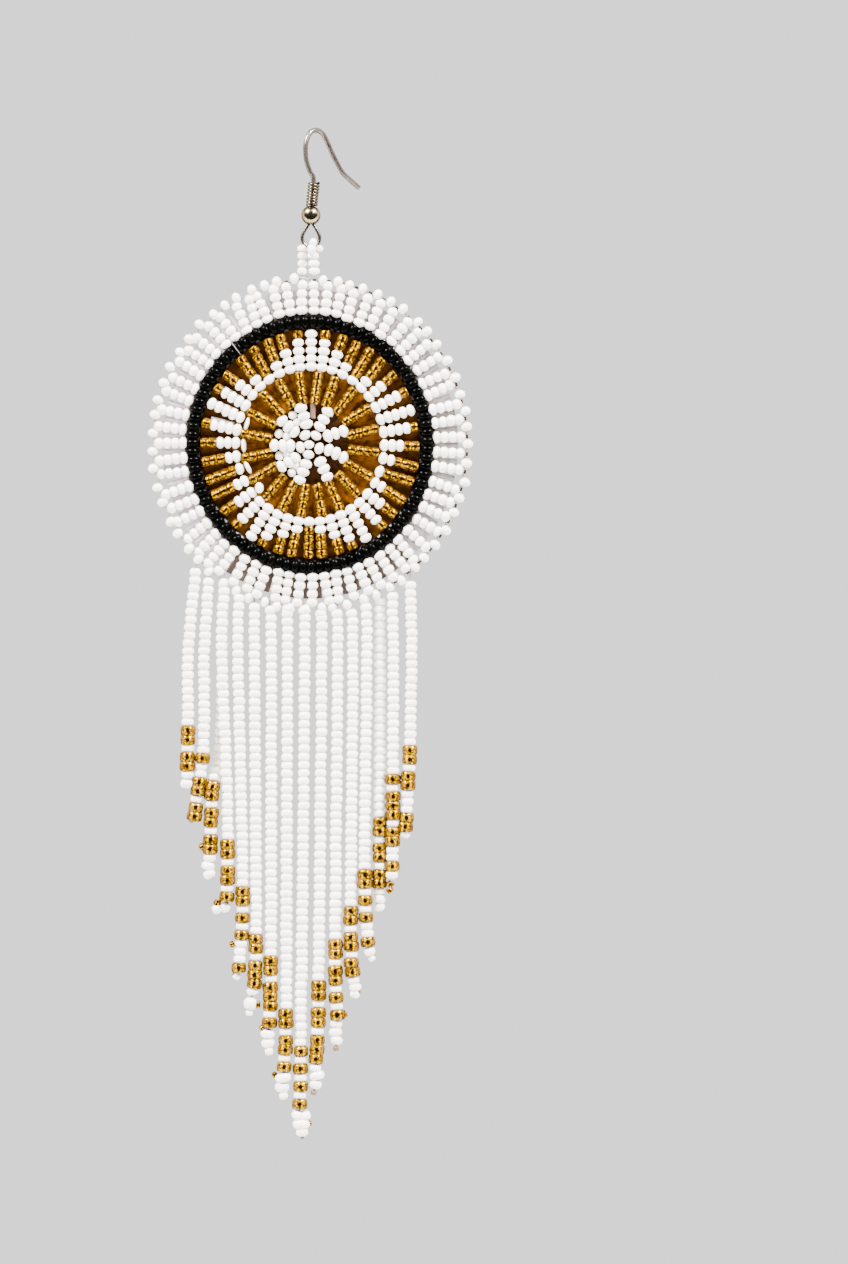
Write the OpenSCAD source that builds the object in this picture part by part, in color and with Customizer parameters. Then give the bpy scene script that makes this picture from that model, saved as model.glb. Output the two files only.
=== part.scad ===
// Beaded drop earring: a bent ear wire carries a stitched disc of seed beads with a long fringe.
// The face of the disc looks towards -Y. The origin is the inside top of the hook's arch.

/* [Ear wire] */
// Thickness of the ear wire
wire_d = 0.64; // [0.5:0.02:0.66]
// Turn of the hook's plane about the upright, away from the plane of the disc
hook_turn = 45; // [35:1:55]
// Diameter of the drilled ball
ball_d = 3.2; // [3:0.05:3.2]
// Diameter of the drilling in the ball
ball_bore_d = 1.5; // [1.4:0.05:1.6]
// Outer diameter of the wound coil
coil_d = 1.86; // [1.8:0.02:2]
// Thickness of the coil's fine wire
coil_wire_d = 0.44; // [0.36:0.02:0.44]
// Turns of the coil
coil_turns = 7.25; // [5:0.25:7.25]

/* [Disc] */
// Diameter of one white or black seed bead
bead_d = 2.1; // [1.9:0.05:2.1]
// Diameter of one gold seed bead
gold_bead_d = 1.9; // [1.7:0.05:1.9]
// Share by which the disc is higher and narrower than a round one
oval = 0.022; // [0:0.001:0.03]
// Radial columns in the white outer band
outer_columns = 63; // [60:1:66]
// Radial columns in the star band
star_columns = 40; // [40:5:40]
// Gold spokes between the rosette and the star band
gold_spoke_count = 20; // [16:1:20]
// Thickness of the leather backing
backing_t = 1; // [1:0.1:1.5]

/* [Fringe] */
// Diameter of a hanging strand
strand_d = 2.1; // [1.9:0.05:2.1]

/* [Hidden] */

// The upright plane of the beadwork, right under the hook's stem
drop_y = -0.3;

// Straight tail of the hook, where a stopper slides on, from its tip to its root, as
// [distance from the origin in the hook's plane, height]
tail = [[10.1, -8.6], [7.35, -7]];
tail_d = wire_d + 0.02;
tail_overlap = 0.1;
// The rest of the hook, from the tail's root over the arch to the stem
hook_route = [
    [6.2, -6.2], [5.05, -4.75], [3.9, -3.2], [3, -1.75], [2.05, -0.45], [1.2, 0.15], [0.1, 0.32],
    [-0.75, 0.1], [-1.4, -0.5], [-1.95, -2], [-2, -3.8], [-1.7, -5.2], [-1.1, -6.6], [-0.42, -8]
];
stem_x = -0.3;
stem_top_z = -8;
ball_x = -0.65;
ball_z = -13.75;
stem_end_z = -14.6;
stem_lean = atan((stem_x - ball_x) / (stem_top_z - ball_z));

// Bottom loop, right half, as [distance from the ball's middle line, height]
half_loop = [[0.35, -14.4], [0.36, -15.2], [0.8, -15.95], [1.16, -16.65], [1.4, -17.45],
    [1.24, -18.3], [0.74, -18.9]];
loop_bottom_z = -19.1;
// Straight stretch at the bottom of the loop, where the bail turns
pin_length = 0.5;

coil_top_z = -8.4;
coil_bottom_z = -11.95;
coil_ring_steps = 12;
coil_sides = 6;

// Bail
bail_thread_r = 0.72;
bail_thread_d = 0.4;
bail_strip_x = [-2.1, -0.22];
bail_strip_z = [-23.4, -20.1];
bail_strip_t = 1.86;
// Beads where the strip turns over the wire, as [x, distance in front of and behind the strip,
// z, radius], and the beads at the strip's shoulders, as [x, distance behind the strip, z, radius]
turn_beads = [[-0.23, 1.3, -18.42, 0.7], [-0.5, 1.35, -19.7, 0.9]];
shoulder_beads = [[-2.28, 0.1, -19.85, 0.8], [0.74, 0.1, -19.87, 0.75]];

// Disc, radii before the oval is put on
disc_x = -0.88;
disc_z = -51.9;
rosette_hub_r = 2.7;
rosette_r = 6.75;
rosette_angles = [22, 60, 103, 142, 183, 219, 255, 300, 341];
recessed_angles = [122, 162, 200, 236];
recessed_d = 1.4;
recessed_back = 0.38;
gold_r = [6.98, 11.82];
gold_first_angle = -7;
star_r = [12.02, 18.58];
star_first_angle = -0.8;
black_r = 19.72;
black_d = 1.9;
black_rings = 40;
outer_r = [20.9, 26.95];
outer_first_angle = 2.5;
picot_r = 28.3;
// The gap between two columns that carries the bail instead of a picot
bail_gap = 15;
backing_r = 19.4;
backing_gap = 0.1;
// Crowding of the columns at the top and bottom of the oval, in degrees
crowding = 2.6;
rib_samples = 4;
rib_depths = [1, 0.84, 0.45, 0.84];
rib_edge = 0.35;
// Thickness at a rib's rounded edge, and reach of a picot, both as shares
rib_edge_share = 0.6;
picot_shares = [0, 0.6, 1, 0.6];

// Facets of round things: small beads, holes, the ball and the hub, the bail's thread, tubes
bead_fn = 24;
hole_fn = 32;
ball_fn = 48;
fine_fn = 16;
tube_sides = 8;
backing_step = 5;

// Fringe strands, one row each, lengths in mm:
// top x, top z, hang x, hang z, bend x, bend z, tip x, tip z, set back at top, at tip, end cluster
STRANDS = [
    [-19.94, -72.62, -21.15, -86, -21.25, -98.5, -21.4, -107.6, 0, 0, 2.3],
    [-17.77, -74.45, -18.5, -86, -18.65, -102, -19.8, -113.8, 0, 0, 2.3],
    [-15.4, -76.5, -15.9, -101.2, -17.15, -109.3, -17.1, -123, 2.3, 0, 2.3],
    [-15.16, -77.02, -15.6, -86, -15, -111.2, -14.4, -129, 0, 0, 2.3],
    [-12.66, -78.56, -12.9, -86, -12.1, -126.6, -12.7, -139.6, 0, 0, 2.3],
    [-10.15, -79.64, -10.15, -86, -9.9, -134, -10.4, -146, 0, 0, 2.3],
    [-7.56, -80.31, -7.35, -86, -7.4, -137.5, -7.8, -152.3, 0, 0, 2.5],
    [-4.73, -80.75, -4.65, -86, -4.9, -147, -5.4, -159, 0, 0, 3],
    [-2.05, -80.94, -1.75, -86, -2.4, -153, -2.3, -165.3, 0, 0, 3.5],
    [0.78, -80.9, 1.05, -86, 0.6, -142, 0.3, -158.9, 0, 0, 2.6],
    [3.43, -80.61, 3.7, -86, 3.4, -135, 3.4, -152.2, 0, 0, 2.5],
    [5.79, -80.09, 6.25, -86, 5.95, -131, 5.95, -143.2, 0, 0, 2.4],
    [8.47, -79.32, 8.6, -86, 8.25, -124.5, 8.9, -136.2, 0, 0, 2.4],
    [10.71, -78.31, 10.75, -86, 10.75, -116.7, 10.75, -128.3, 1.1, 0.7, 2.3],
    [12.81, -77.04, 12.95, -86, 12.95, -108.8, 13.05, -123.2, 0, 0, 2.3],
    [15.82, -75.52, 16.05, -86, 15.7, -103, 15.1, -115.6, 0, 0, 2.3]
];

function strand_name(n) = str("fringe_strand_", n < 10 ? "0" : "", n);
function unit(v) = v / norm(v);

// A soft curve through the route's points, cut into even steps between each two
function soft_point(a, b, c, d, t) =
    0.5 * (2 * b + (c - a) * t + (2 * a - 5 * b + 4 * c - d) * t * t
        + (3 * b - a - 3 * c + d) * t * t * t);
function soft_route(route, steps) =
    let (last = len(route) - 1)
    [
        for (i = [0:last - 1], s = [0:steps - 1])
            soft_point(route[max(i - 1, 0)], route[i], route[i + 1], route[min(i + 2, last)],
                s / steps),
        route[last]
    ];

// Direction of a route at point i, open or closed
function heading(route, i, closed) =
    let (n = len(route))
    closed
        ? unit(route[(i + 1) % n] - route[(i + n - 1) % n])
        : unit(route[min(i + 1, n - 1)] - route[max(i - 1, 0)]);

// Round section of a tube, square to its direction
function section(centre, ahead, side, radius, sides) =
    let (
        across = unit(side - (side * ahead) * ahead),
        up = cross(ahead, across)
    )
    [for (k = [0:sides - 1])
        centre + radius * (cos(360 * k / sides) * across + sin(360 * k / sides) * up)];

// Place on the disc at a radius and angle, seen from the front, counted from the right
function on_disc(r, a, back = 0) =
    [disc_x + r * (1 - oval) * cos(a), drop_y + back, disc_z + r * (1 + oval) * sin(a)];
function crowded(t) = t + crowding * sin(2 * t);

// Skin over a row of sections with the same number of points
module skin(sections, closed = false) {
    n = len(sections);
    m = len(sections[0]);
    caps = closed ? [] : [[for (k = [0:m - 1]) k], [for (k = [m - 1:-1:0]) (n - 1) * m + k]];
    walls = [for (i = [0:closed ? n - 1 : n - 2], k = [0:m - 1])
        [i * m + k, ((i + 1) % n) * m + k, ((i + 1) % n) * m + (k + 1) % m, i * m + (k + 1) % m]];
    polyhedron([for (s = sections) each s], concat(caps, walls), convexity = 10);
}

module tube(route, d, sides, side = [0, 1, 0], closed = false) {
    skin([for (i = [0:len(route) - 1])
        section(route[i], heading(route, i, closed), side, d / 2, sides)], closed);
}

// Round rod between two points of the beadwork's plane
module rod(a, b, d) {
    run = b - a;
    translate(a)
        rotate([0, atan2(run[0], run[2]), 0])
            cylinder(h = norm(run), d = d, $fn = bead_fn);
}

module ear_wire() {
    tail_run = tail[0] - tail[1];
    bend = concat([tail[1] + tail_run * tail_overlap, tail[1]], hook_route);
    hook = [for (p = bend) [p[0] * cos(hook_turn), p[0] * sin(hook_turn), p[1]]];
    stem = [[ball_x, drop_y, ball_z], [ball_x, drop_y, stem_end_z]];
    loop = concat(
        [for (p = half_loop) [ball_x + p[0], drop_y, p[1]]],
        [[ball_x, drop_y, loop_bottom_z]],
        [for (i = [len(half_loop) - 1:-1:0]) [ball_x - half_loop[i][0], drop_y, half_loop[i][1]]]
    );
    color("silver") {
        tube(concat(soft_route(hook, 3), stem), wire_d, tube_sides,
            [-sin(hook_turn), cos(hook_turn), 0]);
        tube(soft_route(loop, 2), wire_d, tube_sides);
        rotate([0, 0, hook_turn])
            translate([tail[0][0], 0, tail[0][1]])
                rotate([0, atan2(-tail_run[0], -tail_run[1]), 0])
                    cylinder(h = norm(tail_run), d = tail_d, $fn = bead_fn);
        translate([ball_x, drop_y, loop_bottom_z])
            rotate([0, 90, 0])
                cylinder(h = pin_length, d = tail_d, center = true, $fn = bead_fn);
    }
}

// Close coil round the leaning stem
module wire_coil() {
    helix_r = (coil_d - coil_wire_d) / 2;
    drop = (coil_top_z - coil_bottom_z) / cos(stem_lean);
    steps = coil_turns * coil_ring_steps;
    route = [for (i = [0:steps])
        [helix_r * cos(360 * i / coil_ring_steps), helix_r * sin(360 * i / coil_ring_steps),
         -drop * i / steps]];
    top_x = stem_x + (coil_top_z - stem_top_z) * tan(stem_lean);
    color("tan")
        translate([top_x, drop_y, coil_top_z])
            rotate([0, stem_lean, 0])
                tube(route, coil_wire_d, coil_sides, [0, 0, 1]);
}

module wire_ball() {
    color("silver")
        translate([ball_x, drop_y, ball_z])
            difference() {
                sphere(d = ball_d, $fn = ball_fn);
                cylinder(h = 2 * ball_d, d = ball_bore_d, center = true, $fn = hole_fn);
            }
}

// Bead strip that turns over the wire's bottom loop
module bail() {
    color("white") {
        translate([ball_x, drop_y, loop_bottom_z])
            rotate([0, 90, 0])
                rotate_extrude($fn = hole_fn)
                    translate([bail_thread_r, 0])
                        circle(d = bail_thread_d, $fn = fine_fn);
        for (bead = turn_beads, face = [-1, 1])
            translate([bead[0], drop_y + face * bead[1], bead[2]])
                sphere(r = bead[3], $fn = bead_fn);
        for (bead = shoulder_beads)
            translate([bead[0], drop_y + bead[1], bead[2]])
                sphere(r = bead[3], $fn = bead_fn);
        translate([0, drop_y, bail_strip_z[0]])
            linear_extrude(height = bail_strip_z[1] - bail_strip_z[0]) {
                for (x = bail_strip_x)
                    translate([x, 0]) circle(d = bail_strip_t, $fn = bead_fn);
                translate([bail_strip_x[0], -bail_strip_t / 2])
                    square([bail_strip_x[1] - bail_strip_x[0], bail_strip_t]);
            }
    }
}

// Flat ring of radial bead columns, thick along each column and thin between two
module column_ring(radii, columns, first_angle, thickness, lobe_r = 0) {
    samples = columns * rib_samples;
    sections = [for (i = [0:samples - 1])
        let (
            a = crowded(first_angle + 360 * i / samples),
            depth = rib_depths[i % rib_samples],
            half = thickness / 2 * depth,
            edge = half * rib_edge_share,
            lobe = lobe_r > 0 && floor(i / rib_samples) != bail_gap
                ? (lobe_r - radii[1]) * picot_shares[i % rib_samples] : 0,
            out = radii[1] + lobe
        )
        [
            on_disc(out, a, -edge), on_disc(out, a, edge),
            on_disc(out - rib_edge, a, half), on_disc(radii[0] + rib_edge, a, half),
            on_disc(radii[0], a, edge), on_disc(radii[0], a, -edge),
            on_disc(radii[0] + rib_edge, a, -half), on_disc(out - rib_edge, a, -half)
        ]];
    skin(sections, closed = true);
}

module outer_band() {
    color("white")
        column_ring(outer_r, outer_columns, outer_first_angle, bead_d, picot_r);
}

module black_ring() {
    color("black")
        tube([for (i = [0:black_rings - 1]) on_disc(black_r, 360 * i / black_rings)],
            black_d, tube_sides, closed = true);
}

module star_band() {
    color("gold")
        column_ring(star_r, star_columns, star_first_angle, bead_d);
}

module gold_spokes() {
    color("goldenrod")
        for (i = [0:gold_spoke_count - 1]) {
            a = crowded(gold_first_angle + 360 * i / gold_spoke_count);
            rod(on_disc(gold_r[0], a), on_disc(gold_r[1], a), gold_bead_d);
        }
}

module rosette() {
    color("white") {
        translate([disc_x, drop_y, disc_z])
            rotate([90, 0, 0])
                cylinder(h = bead_d, r = rosette_hub_r, center = true, $fn = ball_fn);
        for (a = rosette_angles)
            rod(on_disc(rosette_hub_r / 2, a), on_disc(rosette_r, a), gold_bead_d);
        for (a = recessed_angles)
            rod(on_disc(rosette_hub_r / 2, a, recessed_back),
                on_disc(rosette_r, a, recessed_back), recessed_d);
    }
}

module backing() {
    color("sienna")
        translate([disc_x, drop_y + bead_d / 2 + backing_gap + backing_t, disc_z])
            rotate([90, 0, 0])
                linear_extrude(height = backing_t)
                    polygon([for (a = [0:backing_step:360 - backing_step])
                        [backing_r * (1 - oval) * cos(a), backing_r * (1 + oval) * sin(a)]]);
}

// One hanging strand with the cluster of turn-back beads at its end
module fringe_strand(row) {
    top = [row[0], drop_y + row[8], row[1]];
    hang = [row[2], drop_y + row[8], row[3]];
    bend = [row[4], drop_y + row[9], row[5]];
    tip = [row[6], drop_y + row[9], row[7]];
    color("white") {
        tube([top, hang, (hang + bend) / 2 + [0, (row[8] - row[9]) / 4, 0], bend, tip],
            strand_d, tube_sides);
        translate(tip) sphere(d = row[10], $fn = bead_fn);
    }
}

ear_wire();
wire_coil();
wire_ball();
bail();
outer_band();
black_ring();
star_band();
gold_spokes();
rosette();
backing();
for (n = [1:len(STRANDS)])
    fringe_strand(STRANDS[n - 1]);
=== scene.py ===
"""Beaded drop earring: seed beads, thread, wire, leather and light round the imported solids.

Lengths are in millimetres and angles in degrees, and MM turns a length to metres where a mesh or
a node takes it. The face of the beadwork looks towards -Y, and the origin is inside the top of
the ear wire's arch. The disc's beads stand in rows worked out from counts and radii, and the
fringe follows tables of what each strand carries and how it hangs.
"""

import math
import random
from functools import partial

import bmesh
import bpy
from mathutils import Matrix, Vector


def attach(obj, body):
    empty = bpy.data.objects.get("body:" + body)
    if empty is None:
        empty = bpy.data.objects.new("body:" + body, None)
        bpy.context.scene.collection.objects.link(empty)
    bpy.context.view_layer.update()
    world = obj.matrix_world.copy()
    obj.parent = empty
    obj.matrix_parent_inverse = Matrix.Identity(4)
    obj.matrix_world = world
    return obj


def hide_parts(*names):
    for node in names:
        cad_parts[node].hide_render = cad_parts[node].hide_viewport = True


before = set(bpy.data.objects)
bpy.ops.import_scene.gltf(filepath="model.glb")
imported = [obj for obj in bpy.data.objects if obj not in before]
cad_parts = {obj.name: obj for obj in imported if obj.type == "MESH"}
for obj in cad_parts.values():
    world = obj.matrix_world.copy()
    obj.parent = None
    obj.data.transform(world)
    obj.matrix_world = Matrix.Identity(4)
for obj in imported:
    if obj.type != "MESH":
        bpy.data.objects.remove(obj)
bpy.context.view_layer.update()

MM = 0.001


# Small helpers

def linear(hex_colour):
    """An sRGB hex colour as the linear colour with alpha that the shaders take."""
    shares = [int(hex_colour[i:i + 2], 16) / 255 for i in (1, 3, 5)]
    return [s / 12.92 if s <= 0.04045 else ((s + 0.055) / 1.055) ** 2.4 for s in shares] + [1]


def add(tree, kind, inputs=None, **settings):
    """Adds a node with its settings, and fills or links its inputs.

    An input goes by its name, or by its number where names repeat, among the inputs that the
    settings leave in use. It takes a value, a socket, or a node, of which the first output that
    is in use is meant.
    """
    made = tree.nodes.new(kind)
    for name, value in settings.items():
        setattr(made, name, value)
    in_use = [socket for socket in made.inputs if socket.enabled]
    for key, value in (inputs or {}).items():
        into = in_use[key] if isinstance(key, int) else next(s for s in in_use if s.name == key)
        if isinstance(value, bpy.types.Node):
            value = next(s for s in value.outputs if s.enabled)
        if isinstance(value, bpy.types.NodeSocket):
            tree.links.new(value, into)
        else:
            into.default_value = value
    return made


def linked(name, data):
    """A new object of the scene that holds a mesh, a light or a camera."""
    made = bpy.data.objects.new(name, data)
    bpy.context.scene.collection.objects.link(made)
    return made


def joined(shape, rings):
    """Joins rings of corners by smooth faces, the last ring to the first too."""
    for i, ring in enumerate(rings):
        after = rings[(i + 1) % len(rings)]
        for k in range(len(ring)):
            n = (k + 1) % len(ring)
            shape.faces.new((ring[k], after[k], after[n], ring[n])).smooth = True


def shaped(name, shape, *surfaces):
    """A new object from a closed shape, with its faces turned outwards."""
    bmesh.ops.recalc_face_normals(shape, faces=shape.faces)
    mesh = bpy.data.meshes.new(name)
    shape.to_mesh(mesh)
    shape.free()
    for surface in surfaces:
        mesh.materials.append(surface)
    return linked(name, mesh)


# Materials

def material(name):
    """A new material, the function that adds nodes to it, and the place on the piece."""
    made = bpy.data.materials.new(name)
    made.use_nodes = True
    made.node_tree.nodes.clear()
    node = partial(add, made.node_tree)
    return made, node, node("ShaderNodeTexCoord").outputs["Object"]


def white_bead_glass():
    """Opaque white glass, pressed and tumbled: the eye sees a soft gloss on chalky white, each
    bead a touch warmer or cooler, and a warm grey painted shade deep in the creases."""
    made, node, spot = material("opaque_white_pressed_glass")
    shade = node("ShaderNodeAttribute", attribute_name="bead_shade").outputs["Fac"]
    crease_shade = node("ShaderNodeAttribute", attribute_name="crease_shade").outputs["Fac"]
    # Waves of half a millimetre, as tumbling leaves them
    cloud = node("ShaderNodeTexNoise", {"Vector": spot, "Scale": 1 / (0.5 * MM)})
    belly = node("ShaderNodeMix", {"Factor": shade, "A": linear("#F7F2E8"),
                                   "B": linear("#ECE5D9")}, data_type="RGBA")
    # Painted shade: a warm grey darkens each bead's ends where it meets the next
    depth = node("ShaderNodeMapRange", {"Value": crease_shade, "From Min": 0.25, "To Max": 0.85})
    colour = node("ShaderNodeMix", {"Factor": depth, "A": belly, "B": linear("#C2B9AE")},
                  data_type="RGBA")
    gloss = node("ShaderNodeMapRange", {"Value": cloud, "To Min": 0.22, "To Max": 0.38})
    waves = node("ShaderNodeBump", {"Height": cloud, "Distance": 0.02 * MM, "Strength": 0.6})
    shader = node("ShaderNodeBsdfPrincipled",
                  {"Base Color": colour, "Roughness": gloss, "IOR": 1.52, "Normal": waves})
    node("ShaderNodeOutputMaterial", {"Surface": shader})
    return made


def mottled(name, colours, blotch, gloss, finish, detail=2.0, by_bead=False):
    """A material whose gloss varies in blotches of a size in millimetres, and its colour with
    them or from bead to bead. The finish is what else the shader takes."""
    made, node, spot = material(name)
    blotches = node("ShaderNodeTexNoise",
                    {"Vector": spot, "Scale": 1 / (blotch * MM), "Detail": detail})
    shade = blotches
    if by_bead:
        shade = node("ShaderNodeAttribute", attribute_name="bead_shade").outputs["Fac"]
    colour = node("ShaderNodeMix", {"Factor": shade, "A": linear(colours[0]),
                                    "B": linear(colours[1])}, data_type="RGBA")
    rough = node("ShaderNodeMapRange", {"Value": blotches, "To Min": gloss[0],
                                        "To Max": gloss[1]})
    shader = node("ShaderNodeBsdfPrincipled",
                  {"Base Color": colour, "Roughness": rough, **finish})
    node("ShaderNodeOutputMaterial", {"Surface": shader})
    return made


def black_bead_glass():
    """Jet black glass, fire polished: the eye sees plain black with the two lamps as small
    bright marks on each bead."""
    return mottled("jet_black_fire_polished_glass", ("#010101", "#030302"), 0.4, (0.04, 0.07),
                   {"IOR": 1.52, "Specular IOR Level": 0.024}, by_bead=True)


def amber_bead_glass():
    """Amber glass round a square hole lined with silver: the eye sees deep amber at the sides,
    from thicker glass and from painted shade, a bright broken streak painted on each side of
    the hole as a highlight, and the open hole's shade painted as a dark mark."""
    made, node, spot = material("silver_lined_amber_glass")
    shade, crease_shade = [node("ShaderNodeAttribute", attribute_name=name).outputs["Fac"]
                     for name in ("bead_shade", "crease_shade")]
    middle, run, size = [node("ShaderNodeAttribute", attribute_name=name).outputs["Vector"]
                         for name in ("bead_middle", "thread_run", "bead_size")]
    width = node("ShaderNodeSeparateXYZ", {"Vector": size}).outputs["X"]
    # What differs between the disc's small beads and the fringe's large ones: how blurred the
    # flecks are, how far the hole's mark is drawn in along the thread, and where the mark's
    # dark middle and its soft edge end
    big = node("ShaderNodeMapRange",
               {"Value": width, "From Min": 2.0 * MM, "From Max": 2.5 * MM})
    blur, shorter, dark_end, edge_end = [
        node("ShaderNodeMapRange", {"Value": big, "To Min": small, "To Max": large})
        for small, large in ((0.1, 0.17), (0.33, 0.85), (0.065, 0.1), (0.12, 0.15))]

    # How far a point lies from the hole's line and from the hole's mark, as seen through the
    # bead from its face or its back, in shares of the bead's width
    from_middle = node("ShaderNodeVectorMath", {0: spot, 1: middle}, operation="SUBTRACT")
    level = node("ShaderNodeVectorMath", {0: from_middle, 1: (1, 0, 1)}, operation="MULTIPLY")
    along = node("ShaderNodeVectorMath", {0: level, 1: run}, operation="DOT_PRODUCT")
    along_run = node("ShaderNodeVectorMath", {0: run, "Scale": along}, operation="SCALE")
    beside = node("ShaderNodeVectorMath", {0: level, 1: along_run}, operation="SUBTRACT")
    short_run = node("ShaderNodeVectorMath", {0: along_run, "Scale": shorter},
                     operation="SCALE")
    mark = node("ShaderNodeVectorMath", {0: beside, 1: short_run}, operation="ADD")
    reaches = [node("ShaderNodeVectorMath", {0: way}, operation="LENGTH")
               for way in (beside, mark)]
    from_hole, from_mark = [node("ShaderNodeMath", {0: reach, 1: width}, operation="DIVIDE")
                            for reach in reaches]

    # The crumpled silver's reflections are painted in bright and dark flecks, sharper in the
    # small beads, a third of a millimetre wide because the real creases are too fine to show
    fleck = node("ShaderNodeTexNoise", {"Vector": spot, "Scale": 1 / (0.34 * MM), "Detail": 1.0})
    low, high = [node("ShaderNodeMath", {0: 0.56, 1: blur}, operation=way)
                 for way in ("SUBTRACT", "ADD")]
    painted_reflection = node("ShaderNodeMapRange", {"Value": fleck, "From Min": low, "From Max": high})
    # Painted light and shade: the disc's small beads, crowded by neighbours, take a darker body
    # than the fringe's large ones, which hang lit from the front
    shaded_small_body, lit_big_body = [
        node("ShaderNodeMix", {"Factor": shade, "A": linear(light), "B": linear(dark)},
             data_type="RGBA")
        for light, dark in (("#825A02", "#6C4A02"), ("#8E6A04", "#7A5803"))]
    body = node("ShaderNodeMix", {"Factor": big, "A": shaded_small_body, "B": lit_big_body},
                data_type="RGBA")
    undimmed = node("ShaderNodeMapRange", {"Value": painted_reflection, "From Max": 0.5})
    dimmed = node("ShaderNodeMix", {"Factor": undimmed, "A": linear("#281400"), "B": body},
                  data_type="RGBA")
    # The bright flecks are painted glints of the silver
    bright = node("ShaderNodeMapRange", {"Value": painted_reflection, "From Min": 0.55, "To Max": 0.9})

    # Thick glass at the sides is deeper amber than thin glass over the silver; painted shade
    # also darkens the sides where the bead turns away
    thick_glass_and_shade = node("ShaderNodeMapRange", {"Value": from_hole, "From Min": 0.24, "From Max": 0.48,
                                        "To Max": 0.85})
    # Painted highlights: the two silvered walls of the hole, bright where the flecks are
    wall = 0.18
    past_wall = node("ShaderNodeMath", {0: from_hole, 1: wall}, operation="SUBTRACT")
    off_wall = node("ShaderNodeMath", {0: past_wall}, operation="ABSOLUTE")
    on_wall = node("ShaderNodeMapRange", {"Value": off_wall, "From Min": 0.03, "From Max": 0.1,
                                          "To Min": 1.0, "To Max": 0.0})
    gleam = node("ShaderNodeMapRange", {"Value": painted_reflection, "From Min": 0.2, "From Max": 0.9,
                                        "To Min": 0.05})
    painted_wall_highlight = node("ShaderNodeMath", {0: on_wall, 1: gleam}, operation="MULTIPLY")
    # Where one bead meets the next, each shades the other
    end = node("ShaderNodeMapRange", {"Value": crease_shade, "From Min": 0.3, "To Max": 0.85})

    # Straight through the belly the eye meets the open hole, whose shade is painted as a dark
    # mark on face and back: a dash along the thread in the small beads, a dot in the large ones
    hole = node("ShaderNodeMapRange", {"Value": from_mark, "From Min": dark_end,
                                       "From Max": edge_end, "To Min": 1.0, "To Max": 0.0})

    # Each tint lies over the one before
    colour = dimmed
    for share, tint in ((bright, "#A87200"), (thick_glass_and_shade, "#452900"), (painted_wall_highlight, "#DCA000"),
                        (end, "#2A1600"), (hole, "#0C0500")):
        colour = node("ShaderNodeMix", {"Factor": share, "A": colour, "B": linear(tint)},
                      data_type="RGBA")
    cloud = node("ShaderNodeTexNoise", {"Vector": spot, "Scale": 1 / (0.3 * MM)})
    gloss = node("ShaderNodeMapRange", {"Value": cloud, "To Min": 0.1, "To Max": 0.2})
    shader = node("ShaderNodeBsdfPrincipled",
                  {"Base Color": colour, "Metallic": 0.25, "Specular IOR Level": 0.1,
                   "Specular Tint": linear("#FFA000"), "Roughness": gloss})
    node("ShaderNodeOutputMaterial", {"Surface": shader})
    return made


def drawn_wire_metal(name, bright, dull, smooth, rough, bare):
    """Plated metal, drawn or rolled: mirror-like, with a faint darker haze from handling."""
    return mottled(name, (bright, dull), 1.1, (smooth, rough),
                   {"Metallic": bare, "Specular Tint": linear("#7C746C"),
                    "Specular IOR Level": 0.1}, detail=3.0)


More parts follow.
